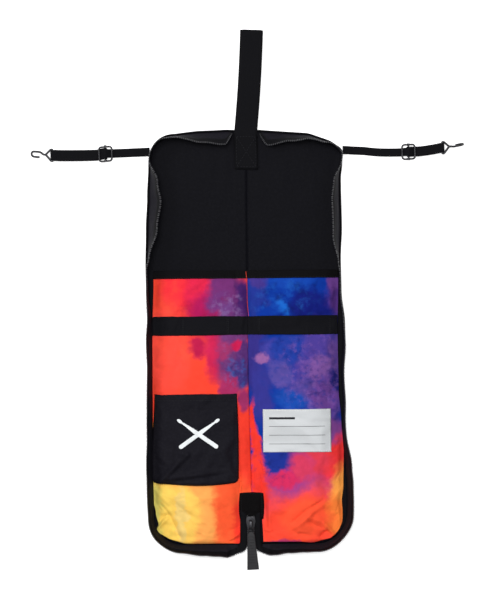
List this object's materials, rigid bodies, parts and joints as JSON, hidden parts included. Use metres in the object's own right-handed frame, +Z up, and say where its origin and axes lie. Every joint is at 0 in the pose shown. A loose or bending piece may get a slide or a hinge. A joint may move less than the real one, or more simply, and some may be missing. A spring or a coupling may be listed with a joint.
{
  "type": "drum stick bag",
  "caption": "fold-open drum stick bag with padded tie-dye shell, stick pockets, elastic band, zipped gusset, webbing handle and two adjustable straps with wire hooks",
  "frame": {"origin": "middle of the spine panel's back face, which lies on the floor", "axes": "+Z up out of the open bag, +Y towards the handle along the spine, +X to the right half"},
  "size_m": [0.4765, 0.5935, 0.03],
  "materials": {
    "shell_fabric": "matt woven polyester with a tie-dye print in blue, purple, magenta, red and yellow",
    "pocket_fabric": "matt woven polyester with a tie-dye print in red, orange, yellow, magenta, purple and blue",
    "padding": "soft closed-cell padding, not seen",
    "lining": "black plain-weave lining",
    "gusset_fabric": "black plain-weave fabric",
    "binding": "black woven binding tape",
    "elastic": "black knitted elastic",
    "accessory_fabric": "black smooth woven fabric",
    "webbing": "black ribbed webbing",
    "zipper_tape": "black herringbone tape",
    "zipper_teeth": "black nylon coil",
    "dark_metal": "satin black coated metal",
    "pull_rubber": "matt dark grey rubber",
    "label_card": "matt white printed label"
  },
  "bodies": {
    "spine": {"spine_outer_panel": "shell_fabric", "spine_padding": "padding", "spine_lining": "lining", "spine_pocket_strip": "pocket_fabric", "spine_pocket_binding": "binding", "spine_elastic_band": "elastic", "handle_anchor": "webbing", "zipper_end_patch": "accessory_fabric", "zipper_end_tape_left": "zipper_tape", "zipper_end_tape_right": "zipper_tape", "zipper_end_teeth_left": "zipper_teeth", "zipper_end_teeth_right": "zipper_teeth"},
    "left_half": {"left_outer_panel": "shell_fabric", "left_padding": "padding", "left_lining": "lining", "left_gusset": "gusset_fabric", "left_zipper_tape": "zipper_tape", "left_zipper_teeth": "zipper_teeth", "left_stick_pocket": "pocket_fabric", "left_pocket_binding": "binding", "left_elastic_band": "elastic", "accessory_pocket": "accessory_fabric"},
    "right_half": {"right_outer_panel": "shell_fabric", "right_padding": "padding", "right_lining": "lining", "right_gusset": "gusset_fabric", "right_zipper_tape": "zipper_tape", "right_zipper_teeth": "zipper_teeth", "right_stick_pocket": "pocket_fabric", "right_pocket_binding": "binding", "right_elastic_band": "elastic", "owner_label": "label_card"},
    "handle": {"handle_loop": "webbing"},
    "slider": {"zip_slider": "dark_metal", "zip_slider_bail": "dark_metal"},
    "pull": {"pull_link": "dark_metal", "pull_tab": "pull_rubber"},
    "left_strap": {"left_strap_webbing": "webbing"},
    "left_adjuster": {"left_adjuster": "dark_metal"},
    "left_loop": {"left_strap_loop": "webbing"},
    "left_hook": {"left_hook": "dark_metal"},
    "right_strap": {"right_strap_webbing": "webbing"},
    "right_adjuster": {"right_adjuster": "dark_metal"},
    "right_loop": {"right_strap_loop": "webbing"},
    "right_hook": {"right_hook": "dark_metal"}
  },
  "joints": [
    {"name": "left_fold", "type": "hinge", "parent": "spine", "child": "left_half", "pos_m": [-0.0127, 0, 0.004], "axis": [0, 1, 0], "range_deg": [0, 82]},
    {"name": "right_fold", "type": "hinge", "parent": "spine", "child": "right_half", "pos_m": [0.0127, 0, 0.004], "axis": [0, -1, 0], "range_deg": [0, 82]},
    {"name": "handle_fold", "type": "hinge", "parent": "spine", "child": "handle", "pos_m": [0, 0.23, 0.004], "axis": [1, 0, 0], "range_deg": [-90, 90]},
    {"name": "slider_travel", "type": "slide", "parent": "spine", "child": "slider", "axis": [0, -1, 0], "range_m": [0, 0.0125]},
    {"name": "pull_flip", "type": "hinge", "parent": "slider", "child": "pull", "pos_m": [0, -0.20835, 0.009], "axis": [1, 0, 0], "range_deg": [-120, 0]},
    {"name": "left_strap_swing", "type": "hinge", "parent": "left_half", "child": "left_strap", "pos_m": [-0.1076, 0.2055, 0.001], "axis": [0.0244, -0.9997, 0], "range_deg": [-90, 90]},
    {"name": "left_adjuster_slide", "type": "slide", "parent": "left_strap", "child": "left_adjuster", "axis": [0.9997, 0.0244, 0], "range_m": [-0.035, 0.035], "deforming": ["left_strap_webbing"]},
    {"name": "left_hook_feed", "type": "slide", "parent": "left_adjuster", "child": "left_loop", "axis": [0.9997, 0.0244, 0], "range_m": [-0.0175, 0.0175], "deforming": ["left_strap_loop"]},
    {"name": "left_hook_pivot", "type": "hinge", "parent": "left_loop", "child": "left_hook", "pos_m": [-0.21257, 0.20293, 0.00438], "axis": [0.0244, -0.9997, 0], "range_deg": [-100, 100]},
    {"name": "right_strap_swing", "type": "hinge", "parent": "right_half", "child": "right_strap", "pos_m": [0.1076, 0.2055, 0.001], "axis": [-0.0244, 0.9997, 0], "range_deg": [-90, 90]},
    {"name": "right_adjuster_slide", "type": "slide", "parent": "right_strap", "child": "right_adjuster", "axis": [-0.9997, -0.0244, 0], "range_m": [-0.02, 0.055], "deforming": ["right_strap_webbing"]},
    {"name": "right_hook_feed", "type": "slide", "parent": "right_adjuster", "child": "right_loop", "axis": [-0.9997, -0.0244, 0], "range_m": [-0.0275, 0.01], "deforming": ["right_strap_loop"]},
    {"name": "right_hook_pivot", "type": "hinge", "parent": "right_loop", "child": "right_hook", "pos_m": [0.21527, 0.20813, 0.00438], "axis": [-0.0244, 0.9997, 0], "range_deg": [-100, 100]}
  ],
  "couplings": [
    {"joint": "left_hook_feed", "follows": "left_adjuster_slide", "ratio": -0.5},
    {"joint": "right_hook_feed", "follows": "right_adjuster_slide", "ratio": -0.5}
  ]
}
